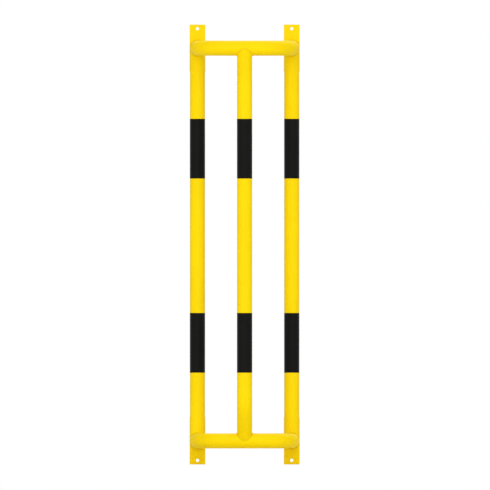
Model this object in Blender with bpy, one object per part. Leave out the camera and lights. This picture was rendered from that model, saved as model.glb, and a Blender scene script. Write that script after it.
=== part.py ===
"""Wall-mounted pipe protection guard, welded from bent and straight steel tube.

Two horizontal hoops stand out from four wall plates. Two side posts join the
hoops' legs, and a bow with cranked ends is saddled onto the hoops' fronts.

Metres, +Z up, the front faces -Y and the wall is at the largest Y.
The origin is below the middle of the guard, at the height of its lower end.
"""

import math

import bmesh
import bpy
from mathutils import Vector

# Overall sizes
OVERALL_HEIGHT = 1.400
OVERALL_DEPTH = 0.300

# Round tube that every bar is made of
TUBE_DIAMETER = 0.048
TUBE_WALL = 0.003

# Wall plates and their bolt holes
PLATE_WIDTH = 0.050
PLATE_HEIGHT = 0.150
PLATE_THICKNESS = 0.006
BOLT_HOLE_DIAMETER = 0.0105
BOLT_HOLE_INSET = 0.013
PLATE_EDGE_BEVEL = 0.0006

# Hoops: spacing of the legs' axes, and the share of the legs that is bend
LEG_SPACING = 0.300
HOOP_BEND_SHARE = 0.48

# What is ground off the thin tips of a coped end
COPE_TIP_TRIM = 0.004

# Front bow: how far its axis stands in front of the hoops' axis, slope of its cranked
# ends above horizontal, bend on the centre line, and how far an end's axis passes
# below the hoop's axis
BOW_STANDOFF = 0.060
BOW_END_SLOPE = math.radians(60)
BOW_BEND_RADIUS = 0.080
BOW_END_OFFSET = 0.004

# Black marking bands on the three upright bars
BAND_HEIGHT = 0.190
BAND_THICKNESS = 0.0003
UPPER_BAND_FROM_TOP = 0.300
LOWER_BAND_FROM_BOTTOM = 0.292

# Weld beads: leg length of the fillet and how far its face stands out
WELD_LEG = 0.0033
WELD_BULGE = 0.0005

# Gap between solids that touch
SEAM_GAP = 0.0003

# Facets
TUBE_SIDES = 32
HOLE_SIDES = 24
SADDLE_WELD_SECTIONS = 42
SADDLE_TIP_DEPTHS = (1.0, 1.25, 1.6, 2.1)
LEAST_TURN = math.radians(1.5)
BEND_STEP = math.radians(11.25)

# Places that follow from the sizes
TUBE_RADIUS = TUBE_DIAMETER / 2
WALL_Y = OVERALL_DEPTH / 2
PLATE_FRONT_Y = WALL_Y - PLATE_THICKNESS
BOW_Y = BAND_THICKNESS + SEAM_GAP + TUBE_RADIUS - OVERALL_DEPTH / 2
HOOP_FRONT_Y = BOW_Y + BOW_STANDOFF
HOOP_BEND_RADIUS = HOOP_BEND_SHARE * (PLATE_FRONT_Y - HOOP_FRONT_Y)
LEG_BEND_Y = HOOP_FRONT_Y + HOOP_BEND_RADIUS
POST_Y = (PLATE_FRONT_Y + LEG_BEND_Y) / 2
LEG_X = LEG_SPACING / 2
LEVELS = {"top": OVERALL_HEIGHT - PLATE_HEIGHT / 2, "bottom": PLATE_HEIGHT / 2}
SIDES = {"left": -LEG_X, "right": LEG_X}
SEAM_RADIUS = TUBE_RADIUS + SEAM_GAP

X_AXIS = Vector((1, 0, 0))
Y_AXIS = Vector((0, 1, 0))
Z_AXIS = Vector((0, 0, 1))


def clear_scene():
    for item in list(bpy.data.objects):
        bpy.data.objects.remove(item, do_unlink=True)


def make_material(name, colour, roughness, metallic=0.0):
    material = bpy.data.materials.new(name)
    material.use_nodes = True
    shader = material.node_tree.nodes["Principled BSDF"]
    shader.inputs["Base Color"].default_value = (*colour, 1.0)
    shader.inputs["Roughness"].default_value = roughness
    shader.inputs["Metallic"].default_value = metallic
    material.diffuse_color = (*colour, 1.0)
    return material


def make_object(name, mesh_builder, material, smooth=True):
    """One object from a bmesh, with its faces turned outwards."""
    bmesh.ops.recalc_face_normals(mesh_builder, faces=mesh_builder.faces[:])
    mesh = bpy.data.meshes.new(name)
    mesh_builder.to_mesh(mesh)
    mesh_builder.free()
    if smooth:
        mesh.shade_smooth()
        mesh.set_sharp_from_angle(angle=math.radians(35))
    mesh.materials.append(material)
    item = bpy.data.objects.new(name, mesh)
    bpy.context.scene.collection.objects.link(item)
    return item


def cut(item, cutter):
    """Take the cutter's shape out of the item."""
    cutter.hide_render = True
    cutter.display_type = "WIRE"
    boolean = item.modifiers.new("cut", "BOOLEAN")
    boolean.operation = "DIFFERENCE"
    boolean.solver = "EXACT"
    boolean.object = cutter


def bent_path(corners, bend_radius):
    """Points and directions along a line through the corners, bent to a radius."""
    stations = [(corners[0], (corners[1] - corners[0]).normalized())]
    for before, corner, after in zip(corners, corners[1:], corners[2:]):
        arriving = (corner - before).normalized()
        leaving = (after - corner).normalized()
        turn = arriving.angle(leaving)
        start = corner - arriving * bend_radius * math.tan(turn / 2)
        inward = (leaving - arriving * leaving.dot(arriving)).normalized()
        centre = start + inward * bend_radius
        steps = max(2, round(turn / BEND_STEP))
        for step in range(steps + 1):
            angle = turn * step / steps
            spoke = -inward * math.cos(angle) + arriving * math.sin(angle)
            heading = arriving * math.cos(angle) + inward * math.sin(angle)
            stations.append((centre + spoke * bend_radius, heading))
    stations.append((corners[-1], (corners[-1] - corners[-2]).normalized()))
    return stations


def ring(mesh_builder, centre, heading, across, radius, sides):
    """A circle of vertices round the heading; across is square to it."""
    other = across.cross(heading)
    turns = [2 * math.pi * i / sides for i in range(sides)]
    return [
        mesh_builder.verts.new(
            centre + radius * (across * math.cos(turn) + other * math.sin(turn))
        )
        for turn in turns
    ]


def bridge(mesh_builder, first, second):
    """Quads between two rings of vertices."""
    count = len(first)
    for i in range(count):
        j = (i + 1) % count
        mesh_builder.faces.new((first[i], first[j], second[j], second[i]))


def tube(name, stations, across, inner_radius, outer_radius, material):
    """A hollow tube along the stations, open at both ends."""
    builder = bmesh.new()
    outer = [ring(builder, p, d, across, outer_radius, TUBE_SIDES) for p, d in stations]
    inner = [ring(builder, p, d, across, inner_radius, TUBE_SIDES) for p, d in stations]
    for wall in (outer, inner):
        for first, second in zip(wall, wall[1:]):
            bridge(builder, first, second)
    bridge(builder, outer[0], inner[0])
    bridge(builder, outer[-1], inner[-1])
    return make_object(name, builder, material)


def rod(name, start, end, across, radius, sides, material):
    """A solid round bar, used to cut copes and holes."""
    heading = (end - start).normalized()
    builder = bmesh.new()
    first = ring(builder, start, heading, across, radius, sides)
    last = ring(builder, end, heading, across, radius, sides)
    bridge(builder, first, last)
    builder.faces.new(first)
    builder.faces.new(last)
    return make_object(name, builder, material)


def steel_tube(name, corners, across, bend_radius, material):
    stations = bent_path([Vector(corner) for corner in corners], bend_radius)
    return tube(name, stations, across, TUBE_RADIUS - TUBE_WALL, TUBE_RADIUS, material)


def wall_plate(name, x, z, material):
    """A flat plate with a bolt hole near each end, centred on a hoop's leg."""
    builder = bmesh.new()
    bmesh.ops.create_cube(builder, size=1.0)
    for vertex in builder.verts:
        vertex.co.x = x + vertex.co.x * PLATE_WIDTH
        vertex.co.y = WALL_Y - PLATE_THICKNESS / 2 + vertex.co.y * PLATE_THICKNESS
        vertex.co.z = z + vertex.co.z * PLATE_HEIGHT
    plate = make_object(name, builder, material, smooth=False)
    bevel = plate.modifiers.new("edges", "BEVEL")
    bevel.width = PLATE_EDGE_BEVEL
    bevel.segments = 1
    reach = PLATE_HEIGHT / 2 - BOLT_HOLE_INSET
    for end, hole_z in (("upper", z + reach), ("lower", z - reach)):
        start = Vector((x, PLATE_FRONT_Y - PLATE_THICKNESS, hole_z))
        stop = Vector((x, WALL_Y + PLATE_THICKNESS, hole_z))
        drill = rod(
            f"{name}_{end}_drill", start, stop, X_AXIS, BOLT_HOLE_DIAMETER / 2, HOLE_SIDES, material
        )
        cut(plate, drill)
    return plate


def hoop(name, z, material):
    """A U of tube: back along one leg, across the front and back along the other."""
    back_y = PLATE_FRONT_Y - SEAM_GAP
    corners = [
        (-LEG_X, back_y, z),
        (-LEG_X, HOOP_FRONT_Y, z),
        (LEG_X, HOOP_FRONT_Y, z),
        (LEG_X, back_y, z),
    ]
    return steel_tube(name, corners, Z_AXIS, HOOP_BEND_RADIUS, material)


def side_post(name, x, material):
    """An upright coped to the middle of the two hoops' straight legs."""
    low = LEVELS["bottom"] + COPE_TIP_TRIM
    high = LEVELS["top"] - COPE_TIP_TRIM
    stations = [(Vector((x, POST_Y, z)), Z_AXIS) for z in (low, high)]
    post = tube(name, stations, X_AXIS, TUBE_RADIUS - TUBE_WALL, TUBE_RADIUS, material)
    for level, z in LEVELS.items():
        start = Vector((x, POST_Y - TUBE_DIAMETER, z))
        stop = Vector((x, POST_Y + TUBE_DIAMETER, z))
        saddle = rod(f"{name}_{level}_saddle", start, stop, X_AXIS, SEAM_RADIUS, TUBE_SIDES, material)
        cut(post, saddle)
    return post


def upward(level):
    """Out along an upright towards the hoop at this level."""
    return Z_AXIS if level == "top" else -Z_AXIS


def bow_end_directions(level):
    """Along a cranked end towards its hoop, and square to that, to the front."""
    heading = Y_AXIS * math.cos(BOW_END_SLOPE) + upward(level) * math.sin(BOW_END_SLOPE)
    beside = upward(level) * math.cos(BOW_END_SLOPE) - Y_AXIS * math.sin(BOW_END_SLOPE)
    return heading, beside


def bow_end(level):
    """Where the cranked end's axis stops at the hoop, and where it meets the upright."""
    heading, beside = bow_end_directions(level)
    hoop_axis = Vector((0, HOOP_FRONT_Y, LEVELS[level]))
    stop = hoop_axis - beside * BOW_END_OFFSET - heading * COPE_TIP_TRIM
    corner = stop - heading * (stop.y - BOW_Y) / heading.y
    return stop, corner


def front_bow(name, material):
    """The front upright, cranked back at both ends and coped onto the hoops."""
    top_stop, top_corner = bow_end("top")
    bottom_stop, bottom_corner = bow_end("bottom")
    corners = [bottom_stop, bottom_corner, top_corner, top_stop]
    bow = steel_tube(name, corners, X_AXIS, BOW_BEND_RADIUS, material)
    for level, z in LEVELS.items():
        start = Vector((-TUBE_DIAMETER, HOOP_FRONT_Y, z))
        stop = Vector((TUBE_DIAMETER, HOOP_FRONT_Y, z))
        saddle = rod(f"{name}_{level}_saddle", start, stop, Z_AXIS, SEAM_RADIUS, TUBE_SIDES, material)
        cut(bow, saddle)
    return bow


def marking_band(name, x, y, low, material):
    """A film wrapped round an upright bar."""
    stations = [(Vector((x, y, z)), Z_AXIS) for z in (low, low + BAND_HEIGHT)]
    return tube(name, stations, X_AXIS, SEAM_RADIUS, SEAM_RADIUS + BAND_THICKNESS, material)


def bead(name, sections, material):
    """A closed ring of weld metal through cross-sections with as many points each."""
    builder = bmesh.new()
    loops = [[builder.verts.new(point) for point in section] for section in sections]
    for first, second in zip(loops, loops[1:] + loops[:1]):
        bridge(builder, first, second)
    return make_object(name, builder, material)


def plate_weld(name, x, z, material):
    """Fillet round a hoop's leg where it stands on its wall plate."""
    seat_y = PLATE_FRONT_Y - SEAM_GAP
    sections = []
    for i in range(TUBE_SIDES):
        turn = 2 * math.pi * i / TUBE_SIDES
        spoke = X_AXIS * math.cos(turn) + Z_AXIS * math.sin(turn)
        foot = SEAM_RADIUS + WELD_LEG
        foot /= max(1.0, abs(foot * math.cos(turn)) / (PLATE_WIDTH / 2))
        axis = Vector((x, 0, z))
        root = axis + spoke * SEAM_RADIUS + Y_AXIS * seat_y
        plate_toe = axis + spoke * foot + Y_AXIS * seat_y
        tube_toe = root - Y_AXIS * WELD_LEG
        outward = (spoke - Y_AXIS).normalized()
        bulge = WELD_BULGE * (foot - SEAM_RADIUS) / WELD_LEG
        crown = (plate_toe + tube_toe) / 2 + outward * bulge
        sections.append([root, plate_toe, crown, tube_toe])
    return bead(name, sections, material)


def saddle_turns(offset):
    """Turns round a coped tube, closer together where its end runs steeply into a tip."""
    turns = {2 * math.pi * i / SADDLE_WELD_SECTIONS for i in range(SADDLE_WELD_SECTIONS)}
    tips = set()
    for share in SADDLE_TIP_DEPTHS:
        aside = math.sqrt(SEAM_RADIUS**2 - (COPE_TIP_TRIM * share) ** 2)
        for cosine in ((offset + aside) / SEAM_RADIUS, (offset - aside) / SEAM_RADIUS):
            if abs(cosine) < 1:
                turn = math.acos(cosine)
                tips |= {turn, 2 * math.pi - turn}
    spaced = {turn for turn in turns if all(abs(turn - tip) > LEAST_TURN for tip in tips)}
    return sorted(spaced | tips)


def saddle_weld(name, centre, heading, beside, offset, material):
    """Fillet along the saddle where a coped tube's end meets a bar of the same size.

    The coped tube runs along the heading towards the bar, whose axis passes through
    the centre, square to the heading and to beside. The tube's axis passes the bar's
    axis at the offset, on the side away from beside. Where the tube's wall overhangs
    the bar, the bead closes the lip under its end.
    """
    bar_axis = beside.cross(heading)
    reach_before_lip = math.sqrt(SEAM_RADIUS**2 - COPE_TIP_TRIM**2)
    highest = math.asin(min(1.0, (SEAM_RADIUS - offset) / SEAM_RADIUS))
    lowest = -math.asin(min(1.0, reach_before_lip / SEAM_RADIUS))
    middle_wrap = (highest + lowest) / 2
    half_wrap = (highest - lowest) / 2

    def on_bar(along, wrap):
        spoke = beside * math.sin(wrap) - heading * math.cos(wrap)
        return centre + bar_axis * along + spoke * SEAM_RADIUS, spoke

    def on_tube(turn, depth):
        spoke = bar_axis * math.sin(turn) + beside * math.cos(turn)
        return centre - beside * offset + spoke * SEAM_RADIUS + heading * depth, spoke

    sections = []
    for turn in saddle_turns(offset):
        along = SEAM_RADIUS * math.sin(turn)
        aside = SEAM_RADIUS * math.cos(turn) - offset
        overhangs = abs(aside) > reach_before_lip
        if overhangs:
            wrap = math.copysign(math.acos(COPE_TIP_TRIM / SEAM_RADIUS), aside)
            depth = -COPE_TIP_TRIM
            root_depth = depth + SEAM_GAP
        else:
            wrap = math.asin(aside / SEAM_RADIUS)
            depth = -SEAM_RADIUS * math.cos(wrap)
            root_depth = depth - SEAM_GAP
        spread = Vector((along / SEAM_RADIUS, (wrap - middle_wrap) / half_wrap**2)).normalized()

        def seat(distance):
            return on_bar(along + spread.x * distance, wrap + spread.y * distance / SEAM_RADIUS)

        tube_toe, tube_normal = on_tube(turn, depth - WELD_LEG)
        tube_root, _ = on_tube(turn, root_depth)
        bar_root, bar_normal = seat(SEAM_GAP)
        bar_middle, _ = seat(WELD_LEG / 2)
        bar_toe, _ = seat(WELD_LEG)
        outward = (tube_normal + bar_normal).normalized()
        middle = (tube_toe + bar_toe) / 2
        rise = (middle - tube_root).dot(outward)
        crown = middle + outward * (WELD_BULGE + max(0.0, -rise))
        sections.append([tube_toe, crown, bar_toe, bar_middle, bar_root, tube_root])
    return bead(name, sections, material)


def build():
    clear_scene()
    yellow = make_material("yellow_powder_coat", (0.95, 0.66, 0.0), 0.35)
    black = make_material("black_film", (0.012, 0.012, 0.011), 0.45)

    for level, z in LEVELS.items():
        hoop(f"hoop_{level}", z, yellow)
        for side, x in SIDES.items():
            wall_plate(f"wall_plate_{level}_{side}", x, z, yellow)
            plate_weld(f"plate_weld_{level}_{side}", x, z, yellow)
            seat = Vector((x, POST_Y, z))
            saddle_weld(f"post_weld_{level}_{side}", seat, upward(level), X_AXIS, 0.0, yellow)

    for side, x in SIDES.items():
        side_post(f"side_post_{side}", x, yellow)
    front_bow("front_bow", yellow)
    for level, z in LEVELS.items():
        seat = Vector((0, HOOP_FRONT_Y, z))
        heading, beside = bow_end_directions(level)
        saddle_weld(f"bow_weld_{level}", seat, heading, beside, BOW_END_OFFSET, yellow)

    uprights = {"left": (SIDES["left"], POST_Y), "middle": (0.0, BOW_Y), "right": (SIDES["right"], POST_Y)}
    band_lows = {
        "upper": OVERALL_HEIGHT - UPPER_BAND_FROM_TOP - BAND_HEIGHT,
        "lower": LOWER_BAND_FROM_BOTTOM,
    }
    for place, (x, y) in uprights.items():
        for height, low in band_lows.items():
            marking_band(f"marking_band_{height}_{place}", x, y, low, black)


build()
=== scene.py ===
"""The looks of the pipe protection guard: fine tubes, welds, film and powder coat.

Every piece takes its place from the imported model. Metres, +Z up, the front is -Y.
"""

import math

import bmesh
import bpy
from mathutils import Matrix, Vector


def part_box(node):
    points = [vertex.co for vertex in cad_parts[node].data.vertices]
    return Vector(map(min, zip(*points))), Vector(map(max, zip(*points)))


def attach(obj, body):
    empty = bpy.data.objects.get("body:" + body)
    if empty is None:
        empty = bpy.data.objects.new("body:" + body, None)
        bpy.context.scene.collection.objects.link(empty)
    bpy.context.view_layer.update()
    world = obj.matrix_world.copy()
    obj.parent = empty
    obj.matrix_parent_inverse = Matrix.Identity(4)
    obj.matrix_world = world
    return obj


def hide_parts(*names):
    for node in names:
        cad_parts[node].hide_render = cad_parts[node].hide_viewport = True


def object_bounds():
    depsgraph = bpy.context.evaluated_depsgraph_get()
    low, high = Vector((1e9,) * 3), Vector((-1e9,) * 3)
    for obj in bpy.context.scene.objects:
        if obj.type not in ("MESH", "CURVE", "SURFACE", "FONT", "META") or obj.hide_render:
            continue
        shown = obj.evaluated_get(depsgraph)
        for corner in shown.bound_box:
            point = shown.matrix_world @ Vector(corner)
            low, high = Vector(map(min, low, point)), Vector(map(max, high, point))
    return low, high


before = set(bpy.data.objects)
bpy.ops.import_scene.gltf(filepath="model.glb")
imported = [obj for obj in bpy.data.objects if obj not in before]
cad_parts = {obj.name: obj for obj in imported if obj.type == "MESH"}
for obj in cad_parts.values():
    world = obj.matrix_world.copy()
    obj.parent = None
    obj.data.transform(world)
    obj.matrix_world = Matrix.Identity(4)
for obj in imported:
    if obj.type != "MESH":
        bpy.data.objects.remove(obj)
cad_low, cad_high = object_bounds()

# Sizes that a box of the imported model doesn't give
HOOP_BEND_SHARE = 0.48
BOW_BEND_RADIUS = 0.080
BOW_END_SLOPE = math.radians(60)
BOW_END_OFFSET = 0.004
COPE_TIP_TRIM = 0.004
TUBE_WALL = 0.003
PLATE_HOLE_RADIUS = 0.00525
PLATE_HOLE_INSET = 0.013
PLATE_EDGE_ROUND = 0.0007

# Fineness of the meshes
TUBE_SIDES = 96
BEND_STEP = math.radians(2.5)
BEAD_STEP = 0.0005
BEAD_SAMPLES = 360
BEAD_PROFILE_POINTS = 9
HOLE_SIDES = 64
PLATE_EDGE_STEPS = 4
FILM_LAP_STEPS = 12

# Edges with a larger turn than this, in degrees, stay crisp
CRISP_FROM = 30.0
BEAD_CRISP_FROM = 80.0

# Points closer than this lie on the same line
SAME_PLACE = 1e-7

# Weld beads: their size, and how far they sink into what they join
WELD_LEG = 0.0034
WELD_BULGE = 0.0006
BEAD_SINK = 0.0002
SADDLE_TIP_WRAP = math.radians(80)
LEAST_SIDEWAYS = 0.1

# Ripples of the beads: regular puddles with an overtone, and a slow uneven wander
RIPPLE_PITCH = 0.0021
RIPPLE_HEIGHT = 0.00028
RIPPLE_SHARE = 0.5
OVERTONE_SHARE = 0.35
OVERTONE_PHASE = 0.9
WANDER_SHARE = 0.3
WANDER_RATES = (190.0, 77.0)
WANDER_PHASE = 1.3
# Painted shade: how much darker the ripples' valleys are painted
RIPPLE_VALLEY_SHADE = 0.4

# Marking film: its place and thickness, the lap of its two ends, and how the upper
# end steps up onto the lower one and settles again
FILM_LIFT = 0.00003
FILM_THICKNESS = 0.00025
FILM_LAP = math.radians(28)
FILM_STEP_TURN = math.radians(0.25)
FILM_SETTLE_TURN = math.radians(4)
FILM_EDGE_ROUND = 0.00008

X_AXIS = Vector((1, 0, 0))
Y_AXIS = Vector((0, 1, 0))
Z_AXIS = Vector((0, 0, 1))

LEVELS = ("top", "bottom")
SIDES = ("left", "right")


def corners_of(node):
    low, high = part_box(node)
    return Vector(low), Vector(high)


def centre_of(node):
    low, high = corners_of(node)
    return (low + high) / 2


hoop_low, hoop_high = corners_of("hoop_top")
TUBE_RADIUS = (hoop_high.z - hoop_low.z) / 2
LEG_X = hoop_high.x - TUBE_RADIUS
HOOP_FRONT_Y = hoop_low.y + TUBE_RADIUS
LEG_BACK_Y = hoop_high.y
HOOP_Z = {level: centre_of(f"hoop_{level}").z for level in LEVELS}
POST = {side: centre_of(f"side_post_{side}") for side in SIDES}
BOW_Y = corners_of("front_bow")[0].y + TUBE_RADIUS
PLATE_FRONT_Y = corners_of("wall_plate_top_left")[0].y
HOOP_BEND_RADIUS = HOOP_BEND_SHARE * (PLATE_FRONT_Y - HOOP_FRONT_Y)


# Materials: noise scales are per metre, a bump is (distance, strength)

COAT_YELLOWS = ((0.950, 0.676, 0.0), (1.0, 0.722, 0.0))
COAT_IN_PEEL = (0.900, 0.630, 0.0)
# Painted shade: the dark yellow laid into the weld beads' creases and ripple valleys
COAT_PAINTED_CREASE_SHADE = (0.420, 0.270, 0.0)
COAT_CLOUDS = 9.0
COAT_PEEL = 330.0
COAT_GRAIN = 1900.0
COAT_PEEL_MIX = 0.45
# How strongly the painted shade darkens the weld beads' creases and ripple valleys
COAT_CREASE_SHADE_MIX = (0.12, 0.85)
COAT_ROUGHNESS = (0.50, 0.62)
COAT_SPECULAR = 0.08
COAT_PEEL_BUMP = (0.0006, 0.7)
COAT_GRAIN_BUMP = (0.00003, 0.5)

FILM_BLACKS = ((0.0045, 0.0045, 0.0041), (0.0065, 0.0065, 0.0059))
FILM_CLOUDS = 14.0
FILM_GRAIN = 1400.0
FILM_ROUGHNESS = (0.34, 0.44)
FILM_SPECULAR = 0.05
FILM_GRAIN_BUMP = (0.00006, 0.5)


class Nodes:
    """A material's node tree, with short calls to add and join nodes."""

    def __init__(self, name):
        self.material = bpy.data.materials.new(name)
        self.material.use_nodes = True
        self.tree = self.material.node_tree
        self.shader = self.tree.nodes["Principled BSDF"]

    def add(self, kind, **values):
        """A new node; each value goes to the socket of that name, or else to the setting."""
        node = self.tree.nodes.new(kind)
        for key, value in values.items():
            if key in node.inputs:
                node.inputs[key].default_value = value
            else:
                setattr(node, key, value)
        return node

    def join(self, source, target):
        self.tree.links.new(source, target)


def noise(nodes, place, scale, detail):
    texture = nodes.add("ShaderNodeTexNoise", Scale=scale, Detail=detail)
    nodes.join(place.outputs["Object"], texture.inputs["Vector"])
    return texture.outputs["Fac"]


def remap(nodes, value, low, high, source_low=0.3, source_high=0.7):
    """A value stretched from its own band, by default a noise's, to low and high."""
    node = nodes.add("ShaderNodeMapRange")
    node.inputs["From Min"].default_value = source_low
    node.inputs["From Max"].default_value = source_high
    node.inputs["To Min"].default_value = low
    node.inputs["To Max"].default_value = high
    nodes.join(value, node.inputs["Value"])
    return node.outputs["Result"]


def blend_colours(nodes, factor, first, second):
    """From the first colour to the second; the first may be another node's output."""
    node = nodes.add("ShaderNodeMix", data_type="RGBA")
    colour_inputs = [socket for socket in node.inputs if socket.type == "RGBA"]
    if isinstance(first, tuple):
        colour_inputs[0].default_value = (*first, 1.0)
    else:
        nodes.join(first, colour_inputs[0])
    colour_inputs[1].default_value = (*second, 1.0)
    nodes.join(factor, node.inputs[0])
    return [socket for socket in node.outputs if socket.type == "RGBA"][0]


def bump(nodes, height, size, under=None):
    distance, strength = size
    node = nodes.add("ShaderNodeBump", Strength=strength, Distance=distance)
    nodes.join(height, node.inputs["Height"])
    if under is not None:
        nodes.join(under, node.inputs["Normal"])
    return node.outputs["Normal"]


def powder_coat(name, with_painted_weld_shade=False):
    """Satin yellow powder coat: orange peel, a fine grain and slight cloudiness.

    Over a weld it carries painted shade: darker in the bead's creases at its toes and in its
    ripples' valleys.
    """
    nodes = Nodes(name)
    place = nodes.add("ShaderNodeTexCoord")
    clouds = noise(nodes, place, COAT_CLOUDS, 3.0)
    peel = noise(nodes, place, COAT_PEEL, 1.5)
    grain = noise(nodes, place, COAT_GRAIN, 1.0)
    colour = blend_colours(nodes, remap(nodes, clouds, 0.0, 1.0), *COAT_YELLOWS)
    colour = blend_colours(nodes, remap(nodes, peel, COAT_PEEL_MIX, 0.0), colour, COAT_IN_PEEL)
    if with_painted_weld_shade:
        # Painted shade: darker where the bead's hollow attribute marks the creases at its toes
        # and its ripple valleys
        hollow = nodes.add("ShaderNodeAttribute", attribute_name="hollow").outputs["Fac"]
        depth = remap(nodes, hollow, *COAT_CREASE_SHADE_MIX, 0.0, 1.0)
        colour = blend_colours(nodes, depth, colour, COAT_PAINTED_CREASE_SHADE)
    nodes.join(colour, nodes.shader.inputs["Base Color"])
    nodes.join(remap(nodes, peel, *COAT_ROUGHNESS), nodes.shader.inputs["Roughness"])
    nodes.shader.inputs["Specular IOR Level"].default_value = COAT_SPECULAR
    fine = bump(nodes, grain, COAT_GRAIN_BUMP)
    nodes.join(bump(nodes, peel, COAT_PEEL_BUMP, fine), nodes.shader.inputs["Normal"])
    return nodes.material


def marking_film():
    """Black vinyl film, satin, with a fine calendered grain."""
    nodes = Nodes("black_film_look")
    place = nodes.add("ShaderNodeTexCoord")
    clouds = noise(nodes, place, FILM_CLOUDS, 3.0)
    grain = noise(nodes, place, FILM_GRAIN, 2.0)
    colour = blend_colours(nodes, remap(nodes, clouds, 0.0, 1.0), *FILM_BLACKS)
    nodes.join(colour, nodes.shader.inputs["Base Color"])
    nodes.join(remap(nodes, clouds, *FILM_ROUGHNESS), nodes.shader.inputs["Roughness"])
    nodes.shader.inputs["Specular IOR Level"].default_value = FILM_SPECULAR
    nodes.join(bump(nodes, grain, FILM_GRAIN_BUMP), nodes.shader.inputs["Normal"])
    return nodes.material


# Meshes

def round_points(centre, across, other, radius):
    turns = [2 * math.pi * i / TUBE_SIDES for i in range(TUBE_SIDES)]
    return [
        centre + radius * (across * math.cos(turn) + other * math.sin(turn)) for turn in turns
    ]


def join_loops(builder, first, second, smooth=False):
    """Quads between two closed loops of as many vertices."""
    count = len(first)
    for i in range(count):
        j = (i + 1) % count
        face = builder.faces.new((first[i], first[j], second[j], second[i]))
        face.smooth = smooth


def skin(builder, rings, closed=False):
    """Quads between rings of points, in order; gives the rings' vertices."""
    loops = [[builder.verts.new(point) for point in points] for points in rings]
    following = loops[1:] + (loops[:1] if closed else [])
    for first, second in zip(loops, following):
        join_loops(builder, first, second)
    return loops


def finish_piece(name, builder, material, node, crisp_from=CRISP_FROM):
    """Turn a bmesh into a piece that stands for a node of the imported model.

    Without crisp_from, its faces and edges keep the shading that they have.
    """
    bmesh.ops.recalc_face_normals(builder, faces=builder.faces[:])
    mesh = bpy.data.meshes.new(name)
    builder.to_mesh(mesh)
    builder.free()
    if crisp_from:
        mesh.shade_smooth()
        mesh.set_sharp_from_angle(angle=math.radians(crisp_from))
    mesh.materials.append(material)
    piece = bpy.data.objects.new(name, mesh)
    bpy.context.scene.collection.objects.link(piece)
    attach(piece, "root")
    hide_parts(node)
    return piece


# Tubes

def bent_path(corners, bend_radius):
    """Points and directions along a line through the corners, bent to a radius."""
    stations = [(corners[0], (corners[1] - corners[0]).normalized())]
    for before, corner, after in zip(corners, corners[1:], corners[2:]):
        arriving = (corner - before).normalized()
        leaving = (after - corner).normalized()
        turn = arriving.angle(leaving)
        start = corner - arriving * bend_radius * math.tan(turn / 2)
        inward = (leaving - arriving * leaving.dot(arriving)).normalized()
        centre = start + inward * bend_radius
        steps = max(2, round(turn / BEND_STEP))
        for step in range(steps + 1):
            angle = turn * step / steps
            spoke = -inward * math.cos(angle) + arriving * math.sin(angle)
            heading = arriving * math.cos(angle) + inward * math.sin(angle)
            stations.append((centre + spoke * bend_radius, heading))
    stations.append((corners[-1], (corners[-1] - corners[-2]).normalized()))
    return stations


def cope(points, bar_centre, bar_axis, heading):
    """Push an end ring's points along the heading, onto a bar of the tubes' size.

    The thin tips beside the bar are cut off short of its axis.
    """
    beside = bar_axis.cross(heading)
    for point in points:
        offset = (point - bar_centre).dot(beside)
        depth = math.sqrt(max(TUBE_RADIUS**2 - offset**2, COPE_TIP_TRIM**2))
        ahead = (point - bar_centre).dot(heading)
        point -= heading * (ahead + depth)


def tube_piece(name, node, corners, across, material, bend_radius=None, saddles=()):
    """A hollow tube along the corners; saddles give (end, bar centre, bar axis)."""
    stations = bent_path(corners, bend_radius)
    builder = bmesh.new()
    walls = []
    for radius in (TUBE_RADIUS, TUBE_RADIUS - TUBE_WALL):
        rings = [round_points(p, across, across.cross(d), radius) for p, d in stations]
        for end, bar_centre, bar_axis in saddles:
            outward = stations[end][1] * (1 if end == -1 else -1)
            cope(rings[end], bar_centre, bar_axis, outward)
        walls.append(skin(builder, rings))
    outer, inner = walls
    for end in (0, -1):
        join_loops(builder, outer[end], inner[end])
    return finish_piece(name, builder, material, node)


# Weld beads

def ripple(distance):
    """Height of the frozen puddles along a bead, steep on one side of each."""
    turn = 2 * math.pi * (distance / RIPPLE_PITCH)
    wave = math.sin(turn) + OVERTONE_SHARE * math.sin(2 * turn + OVERTONE_PHASE)
    fast, slow = WANDER_RATES
    wander = (math.sin(distance * fast) + math.sin(distance * slow + WANDER_PHASE)) / 2
    return RIPPLE_HEIGHT * (RIPPLE_SHARE * wave + WANDER_SHARE * wander)


def even_places(section_at):
    """Evenly spaced (share, distance) pairs round a bead, and its length."""
    sections = [section_at(i / BEAD_SAMPLES) for i in range(BEAD_SAMPLES)]
    middles = [(first + second) / 2 for first, second, _, _ in sections]
    lengths = [(b - a).length for a, b in zip(middles, middles[1:] + middles[:1])]
    total = sum(lengths)
    count = round(total / BEAD_STEP)
    places = []
    travelled = 0.0
    segment = 0
    for step in range(count):
        distance = total * step / count
        while travelled + lengths[segment] < distance:
            travelled += lengths[segment]
            segment += 1
        share = (segment + (distance - travelled) / lengths[segment]) / BEAD_SAMPLES
        places.append((share, distance))
    return places, total


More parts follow.
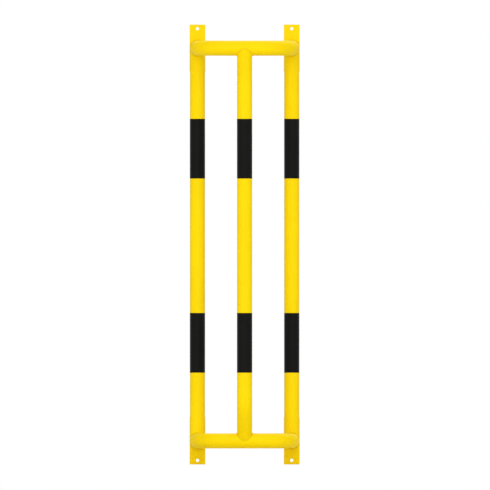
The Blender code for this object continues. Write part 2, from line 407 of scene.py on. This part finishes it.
def bead_piece(name, node, section_at, material):
    """A rippled bead; section_at(share) gives its two toes, its root and the way out."""
    places, total = even_places(section_at)
    stretch = round(total / RIPPLE_PITCH) * RIPPLE_PITCH / total
    rings, hollows = [], []
    for share, distance in places:
        first, second, root, outward = section_at(share)
        middle = (first + second) / 2
        clear = max(0.0, (root - middle).dot(outward))
        wave = ripple(distance * stretch)
        rise = WELD_BULGE + clear + wave
        control = middle + outward * rise * 2
        points, shade_levels = [], []
        for i in range(BEAD_PROFILE_POINTS):
            t = i / (BEAD_PROFILE_POINTS - 1)
            points.append(first * (1 - t) ** 2 + control * 2 * t * (1 - t) + second * t**2)
            # Painted shade, kept per vertex: strongest at the creases by the toes and in the
            # ripples' valleys, none on the crown
            shade_levels.append(abs(2 * t - 1) ** 3 - RIPPLE_VALLEY_SHADE * wave / RIPPLE_HEIGHT)
        points.append(root - outward * BEAD_SINK * 2)
        shade_levels.append(1.0)
        rings.append(points)
        hollows.append(shade_levels)
    builder = bmesh.new()
    # The hollow attribute holds the painted shade that the weld coat reads
    layer = builder.verts.layers.float.new("hollow")
    for loop, shade_levels in zip(skin(builder, rings, closed=True), hollows):
        for vertex, depth in zip(loop, shade_levels):
            vertex[layer] = min(1.0, max(0.0, depth))
    return finish_piece(name, builder, material, node, BEAD_CRISP_FROM)


def plate_bead_sections(centre, half_width):
    """Sections of the fillet round a leg on its plate, kept on the plate."""
    radius = TUBE_RADIUS - BEAD_SINK

    def section_at(share):
        turn = 2 * math.pi * share
        spoke = X_AXIS * math.cos(turn) + Z_AXIS * math.sin(turn)
        sideways = max(abs(math.cos(turn)), LEAST_SIDEWAYS)
        to_edge = (half_width - PLATE_EDGE_ROUND / 2) / sideways
        foot = min(TUBE_RADIUS + WELD_LEG, to_edge)
        plate_toe = centre + spoke * foot + Y_AXIS * BEAD_SINK
        tube_toe = centre + spoke * radius - Y_AXIS * WELD_LEG
        root = centre + spoke * radius + Y_AXIS * BEAD_SINK
        return tube_toe, plate_toe, root, (spoke - Y_AXIS).normalized()

    return section_at


def saddle_bead_sections(centre, heading, beside, offset):
    """Sections of the fillet where a coped tube sits on a bar of its own size.

    The tube's axis passes the bar's axis at the offset, on the side away from beside.
    """
    radius = TUBE_RADIUS - BEAD_SINK
    bar_axis = beside.cross(heading)
    highest = math.asin((radius - offset) / radius) if offset else SADDLE_TIP_WRAP
    middle_wrap = (highest - SADDLE_TIP_WRAP) / 2
    half_wrap = (highest + SADDLE_TIP_WRAP) / 2
    reach = radius * math.sin(SADDLE_TIP_WRAP)

    def section_at(share):
        turn = 2 * math.pi * share
        along = radius * math.sin(turn)
        aside = radius * math.cos(turn) - offset
        wrap = math.asin(max(-reach, min(reach, aside)) / radius)
        depth = -radius * math.cos(wrap)
        tube_normal = bar_axis * math.sin(turn) + beside * math.cos(turn)
        on_tube = centre - beside * offset + tube_normal * radius
        spread_along = along / radius
        spread_wrap = (wrap - middle_wrap) / half_wrap**2
        size = math.hypot(spread_along, spread_wrap)
        toe_along = along + WELD_LEG * spread_along / size
        toe_wrap = wrap + WELD_LEG * spread_wrap / size / radius
        toe_normal = beside * math.sin(toe_wrap) - heading * math.cos(toe_wrap)
        bar_normal = beside * math.sin(wrap) - heading * math.cos(wrap)
        tube_toe = on_tube + heading * (depth - WELD_LEG)
        bar_toe = centre + bar_axis * toe_along + toe_normal * radius
        root = on_tube + heading * depth
        return tube_toe, bar_toe, root, (tube_normal + bar_normal).normalized()

    return section_at


# Marking film

def film_piece(name, node, material):
    """A film wrapped once round an upright, its ends lapped on the wall's side."""
    low, high = corners_of(node)
    centre = (low + high) / 2
    inside = TUBE_RADIUS + FILM_LIFT
    single = inside + FILM_THICKNESS
    double = single + FILM_THICKNESS
    lap_start = math.pi / 2 - FILM_LAP / 2
    lap_end = math.pi / 2 + FILM_LAP / 2
    step_end = lap_start + FILM_STEP_TURN
    settling = lap_end - FILM_SETTLE_TURN + FILM_STEP_TURN * 2
    lap = lap_end - lap_start - FILM_SETTLE_TURN
    rest = 2 * math.pi - FILM_LAP
    turns = [lap_start, step_end]
    turns += [step_end + lap * i / FILM_LAP_STEPS for i in range(1, FILM_LAP_STEPS + 1)]
    turns += [lap_end + rest * i / TUBE_SIDES for i in range(TUBE_SIDES)]

    def inner(turn):
        return inside

    def outer(turn):
        return double if lap_start < turn <= settling else single

    def eased(turn):
        return outer(turn) - FILM_EDGE_ROUND

    def ring_at(z, radius_at):
        rise = Z_AXIS * (z - centre.z)
        spokes = [Vector((math.cos(turn), math.sin(turn), 0)) for turn in turns]
        return [centre + spoke * radius_at(turn) + rise for spoke, turn in zip(spokes, turns)]

    rings = [
        ring_at(low.z, inner),
        ring_at(low.z, eased),
        ring_at(low.z + FILM_EDGE_ROUND, outer),
        ring_at(high.z - FILM_EDGE_ROUND, outer),
        ring_at(high.z, eased),
        ring_at(high.z, inner),
    ]
    builder = bmesh.new()
    skin(builder, rings, closed=True)
    return finish_piece(name, builder, material, node)


# Wall plates

def make_crisp(builder, loop):
    """Mark a closed loop's edges as sharp."""
    for first, second in zip(loop, loop[1:] + loop[:1]):
        builder.edges.get((first, second)).smooth = False


def roll_over(builder, loop, inward, aside):
    """Round a flat face's border over its edge; gives the last loop, on the side wall."""
    previous = loop
    for step in range(1, PLATE_EDGE_STEPS + 1):
        turn = math.pi / 2 * step / PLATE_EDGE_STEPS
        sink = Y_AXIS * inward * PLATE_EDGE_ROUND * (1 - math.cos(turn))
        shift = PLATE_EDGE_ROUND * math.sin(turn)
        following = [builder.verts.new(v.co + sink + aside(v.co) * shift) for v in loop]
        join_loops(builder, previous, following, smooth=True)
        previous = following
    make_crisp(builder, loop)
    return previous


def hole_patch(builder, hole, half_x, half_z):
    """A flat rectangle with a bolt hole in its middle; gives its rim and its border."""
    turns = [2 * math.pi * (i + 0.5) / HOLE_SIDES for i in range(HOLE_SIDES)]
    diagonal = math.atan2(half_z, half_x)
    diagonals = (diagonal, math.pi - diagonal, math.pi + diagonal, -diagonal % (2 * math.pi))
    corners = {min(turns, key=lambda turn: abs(turn - target)) for target in diagonals}
    rim, border = [], []
    for turn in turns:
        spoke = X_AXIS * math.cos(turn) + Z_AXIS * math.sin(turn)
        rim.append(builder.verts.new(hole + spoke * (PLATE_HOLE_RADIUS + PLATE_EDGE_ROUND)))
        if turn in corners:
            reach = Vector((math.copysign(half_x, spoke.x), 0, math.copysign(half_z, spoke.z)))
        else:
            reach = spoke * min(half_x / abs(spoke.x), half_z / abs(spoke.z))
        border.append(builder.verts.new(hole + reach))
    join_loops(builder, rim, border)
    return rim, border


def plate_face(builder, centre, half, y, inward):
    """A plate's flat face with its rounded borders; gives the outer and hole loops."""
    flat = half - Vector((PLATE_EDGE_ROUND, 0, PLATE_EDGE_ROUND))
    patch_z = PLATE_HOLE_INSET - PLATE_EDGE_ROUND
    outline, seams, rims = set(), [], []
    for end in (1, -1):
        hole = Vector((centre.x, y, centre.z + end * (half.z - PLATE_HOLE_INSET)))
        rim, border = hole_patch(builder, hole, flat.x, patch_z)
        seam_z = hole.z - end * patch_z
        seam = [v for v in border if abs(v.co.z - seam_z) < SAME_PLACE]
        seams.append(sorted(seam, key=lambda v: v.co.x))
        outline |= set(border) - set(seams[-1][1:-1])
        rims.append((rim, hole))
    for upper, lower in zip(zip(seams[0], seams[0][1:]), zip(seams[1], seams[1][1:])):
        builder.faces.new((upper[0], upper[1], lower[1], lower[0]))

    def round_plate(vertex):
        return math.atan2(vertex.co.z - centre.z, vertex.co.x - centre.x)

    def off_plate(point):
        to_side = X_AXIS * math.copysign(1, point.x - centre.x)
        to_end = Z_AXIS * math.copysign(1, point.z - centre.z)
        on_side = abs(abs(point.x - centre.x) - flat.x) < SAME_PLACE
        on_end = abs(abs(point.z - centre.z) - flat.z) < SAME_PLACE
        return to_side * on_side + to_end * on_end

    loops = [roll_over(builder, sorted(outline, key=round_plate), inward, off_plate)]
    for rim, hole in rims:
        loops.append(roll_over(builder, rim, inward, lambda point: (hole - point).normalized()))
    return loops


def plate_piece(name, node, material):
    """A plate with rounded edges and two bolt holes."""
    low, high = corners_of(node)
    centre = (low + high) / 2
    half = (high - low) / 2
    builder = bmesh.new()
    front_loops = plate_face(builder, centre, half, low.y, 1)
    back_loops = plate_face(builder, centre, half, high.y, -1)
    for front, back in zip(front_loops, back_loops):
        join_loops(builder, front, back, smooth=True)
        make_crisp(builder, front)
        make_crisp(builder, back)
    return finish_piece(name, builder, material, node, crisp_from=None)


# The guard

def upward(level):
    """Out along an upright towards the hoop at this level."""
    return Z_AXIS if level == "top" else -Z_AXIS


def build_hoop(level, yellow, weld_yellow_shaded):
    """A hoop with its two wall plates, and the beads on its plates and posts."""
    z = HOOP_Z[level]
    corners = [
        Vector((-LEG_X, LEG_BACK_Y, z)),
        Vector((-LEG_X, HOOP_FRONT_Y, z)),
        Vector((LEG_X, HOOP_FRONT_Y, z)),
        Vector((LEG_X, LEG_BACK_Y, z)),
    ]
    tube_piece(
        f"{level}_hoop_tube", f"hoop_{level}", corners, Z_AXIS, yellow, HOOP_BEND_RADIUS
    )
    for side in SIDES:
        plate = f"wall_plate_{level}_{side}"
        plate_piece(f"{level}_{side}_plate", plate, yellow)
        plate_low, plate_high = corners_of(plate)
        seat = Vector((centre_of(plate).x, PLATE_FRONT_Y, z))
        bead_piece(
            f"{level}_{side}_plate_bead",
            f"plate_weld_{level}_{side}",
            plate_bead_sections(seat, (plate_high.x - plate_low.x) / 2),
            weld_yellow_shaded,
        )
        saddle = Vector((POST[side].x, POST[side].y, z))
        bead_piece(
            f"{level}_{side}_post_bead",
            f"post_weld_{level}_{side}",
            saddle_bead_sections(saddle, upward(level), X_AXIS, 0.0),
            weld_yellow_shaded,
        )


def build_post(side, yellow):
    """A straight upright, coped to the legs of both hoops."""
    x, y = POST[side].x, POST[side].y
    bottom, top = (Vector((x, y, HOOP_Z[level])) for level in ("bottom", "top"))
    tube_piece(
        f"{side}_post_tube",
        f"side_post_{side}",
        [bottom, top],
        X_AXIS,
        yellow,
        saddles=((0, bottom, Y_AXIS), (-1, top, Y_AXIS)),
    )


def build_bow(yellow, weld_yellow_shaded):
    """The front bow, cranked back at both ends onto the hoops, with its beads."""
    ends = {}
    for level in LEVELS:
        up = upward(level)
        heading = Y_AXIS * math.cos(BOW_END_SLOPE) + up * math.sin(BOW_END_SLOPE)
        beside = up * math.cos(BOW_END_SLOPE) - Y_AXIS * math.sin(BOW_END_SLOPE)
        hoop_axis = Vector((0, HOOP_FRONT_Y, HOOP_Z[level]))
        stop = hoop_axis - beside * BOW_END_OFFSET
        corner = stop - heading * (stop.y - BOW_Y) / heading.y
        ends[level] = (stop, corner, hoop_axis)
        bead_piece(
            f"{level}_bow_bead",
            f"bow_weld_{level}",
            saddle_bead_sections(hoop_axis, heading, beside, BOW_END_OFFSET),
            weld_yellow_shaded,
        )
    bottom_stop, bottom_corner, bottom_axis = ends["bottom"]
    top_stop, top_corner, top_axis = ends["top"]
    tube_piece(
        "front_bow_tube",
        "front_bow",
        [bottom_stop, bottom_corner, top_corner, top_stop],
        X_AXIS,
        yellow,
        BOW_BEND_RADIUS,
        saddles=((0, bottom_axis, X_AXIS), (-1, top_axis, X_AXIS)),
    )


def build_guard():
    yellow = powder_coat("yellow_powder_coat_look")
    # The weld beads' coat carries painted shade in their creases and ripple valleys
    weld_yellow_shaded = powder_coat("yellow_weld_painted_shade_look", with_painted_weld_shade=True)
    black = marking_film()
    for level in LEVELS:
        build_hoop(level, yellow, weld_yellow_shaded)
    for side in SIDES:
        build_post(side, yellow)
    build_bow(yellow, weld_yellow_shaded)
    for height in ("upper", "lower"):
        for place in ("left", "middle", "right"):
            film_piece(f"{height}_{place}_film", f"marking_band_{height}_{place}", black)


# Camera, stage and light

# The photograph's scale in metres a pixel, and where the guard's middle is in it
PIXEL = 0.003183
IMAGE_PIXELS = 490
IMAGE_CENTRE = IMAGE_PIXELS / 2
OBJECT_CENTRE_PIXEL = (244.6, 244.5)
CAMERA_DISTANCE = 4.0
CAMERA_REACH = 50.0

WHITE = (1.0, 1.0, 1.0, 1.0)
WORLD_LIGHT = 0.38
WORLD_SEEN = 1.0

# The floor's lift is light that only the camera and reflections see
FLOOR_REACH = 12.0
FLOOR_BELOW = 0.0005
FLOOR_TONE = 0.82
FLOOR_ROUGHNESS = 0.8
FLOOR_SPECULAR = 0.1
FLOOR_LIFT = 0.12

# Name, azimuth, elevation, strength and spread; azimuth 0 is the front, + to the right
LIGHTS = (
    ("key", -3.0, 30.0, 1.40, 70.0),
    ("left_fill", -45.0, 2.0, 0.56, 60.0),
    ("right_fill", 44.0, 2.0, 0.58, 60.0),
    ("back", 160.0, 52.0, 1.3, 40.0),
)
LIGHT_DISTANCE = 4.0


def make_camera():
    data = bpy.data.cameras.new("camera")
    data.type = "ORTHO"
    data.ortho_scale = IMAGE_PIXELS * PIXEL
    data.clip_end = CAMERA_REACH
    camera = bpy.data.objects.new("camera", data)
    middle = (Vector(cad_low) + Vector(cad_high)) / 2
    right = (IMAGE_CENTRE - OBJECT_CENTRE_PIXEL[0]) * PIXEL
    down = (IMAGE_CENTRE - OBJECT_CENTRE_PIXEL[1]) * PIXEL
    camera.location = (middle.x + right, -CAMERA_DISTANCE, middle.z - down)
    camera.rotation_euler = (math.radians(90), 0.0, 0.0)
    bpy.context.scene.collection.objects.link(camera)
    bpy.context.scene.camera = camera


def seen_directly(tree):
    """1 where the camera, a mirror or glass looks at a surface, 0 where light bounces."""
    path = tree.nodes.new("ShaderNodeLightPath")
    seen = path.outputs["Is Camera Ray"]
    for other in ("Is Glossy Ray", "Is Transmission Ray"):
        either = tree.nodes.new("ShaderNodeMath")
        either.operation = "MAXIMUM"
        tree.links.new(seen, either.inputs[0])
        tree.links.new(path.outputs[other], either.inputs[1])
        seen = either.outputs[0]
    return seen


def background(tree, strength):
    node = tree.nodes.new("ShaderNodeBackground")
    node.inputs["Color"].default_value = WHITE
    node.inputs["Strength"].default_value = strength
    return node.outputs[0]


def make_world():
    """White where it is seen, and a softer light where it lights the guard."""
    world = bpy.data.worlds.new("studio")
    world.use_nodes = True
    bpy.context.scene.world = world
    tree = world.node_tree
    mix = tree.nodes.new("ShaderNodeMixShader")
    tree.links.new(seen_directly(tree), mix.inputs[0])
    tree.links.new(background(tree, WORLD_LIGHT), mix.inputs[1])
    tree.links.new(background(tree, WORLD_SEEN), mix.inputs[2])
    tree.links.new(mix.outputs[0], tree.nodes["World Output"].inputs["Surface"])


def floor_paint():
    nodes = Nodes("floor_paint")
    nodes.shader.inputs["Base Color"].default_value = (FLOOR_TONE, FLOOR_TONE, FLOOR_TONE, 1.0)
    nodes.shader.inputs["Roughness"].default_value = FLOOR_ROUGHNESS
    nodes.shader.inputs["Specular IOR Level"].default_value = FLOOR_SPECULAR
    lift = nodes.add("ShaderNodeEmission", Strength=FLOOR_LIFT)
    whole = nodes.add("ShaderNodeAddShader")
    nodes.join(nodes.shader.outputs[0], whole.inputs[0])
    nodes.join(lift.outputs[0], whole.inputs[1])
    mix = nodes.add("ShaderNodeMixShader")
    nodes.join(seen_directly(nodes.tree), mix.inputs[0])
    nodes.join(nodes.shader.outputs[0], mix.inputs[1])
    nodes.join(whole.outputs[0], mix.inputs[2])
    nodes.join(mix.outputs[0], nodes.tree.nodes["Material Output"].inputs["Surface"])
    return nodes.material


def make_floor():
    builder = bmesh.new()
    corners = ((-1, -1), (1, -1), (1, 1), (-1, 1))
    points = [(sx * FLOOR_REACH, sy * FLOOR_REACH, -FLOOR_BELOW) for sx, sy in corners]
    builder.faces.new([builder.verts.new(point) for point in points])
    mesh = bpy.data.meshes.new("floor")
    builder.to_mesh(mesh)
    builder.free()
    mesh.materials.append(floor_paint())
    floor = bpy.data.objects.new("floor", mesh)
    bpy.context.scene.collection.objects.link(floor)


def far_light(name, azimuth, elevation, strength, spread):
    """A soft, even light from far off."""
    data = bpy.data.lights.new(name, "SUN")
    data.energy = strength
    data.angle = math.radians(spread)
    across, up = math.radians(azimuth), math.radians(elevation)
    flat = Vector((math.sin(across), -math.cos(across), 0)) * math.cos(up)
    light = bpy.data.objects.new(name, data)
    light.location = (flat + Z_AXIS * math.sin(up)) * LIGHT_DISTANCE
    light.rotation_euler = (-light.location).to_track_quat("-Z", "Y").to_euler()
    bpy.context.scene.collection.objects.link(light)


bpy.context.scene.view_settings.view_transform = "Standard"
make_camera()
build_guard()
make_world()
make_floor()
for light in LIGHTS:
    far_light(*light)
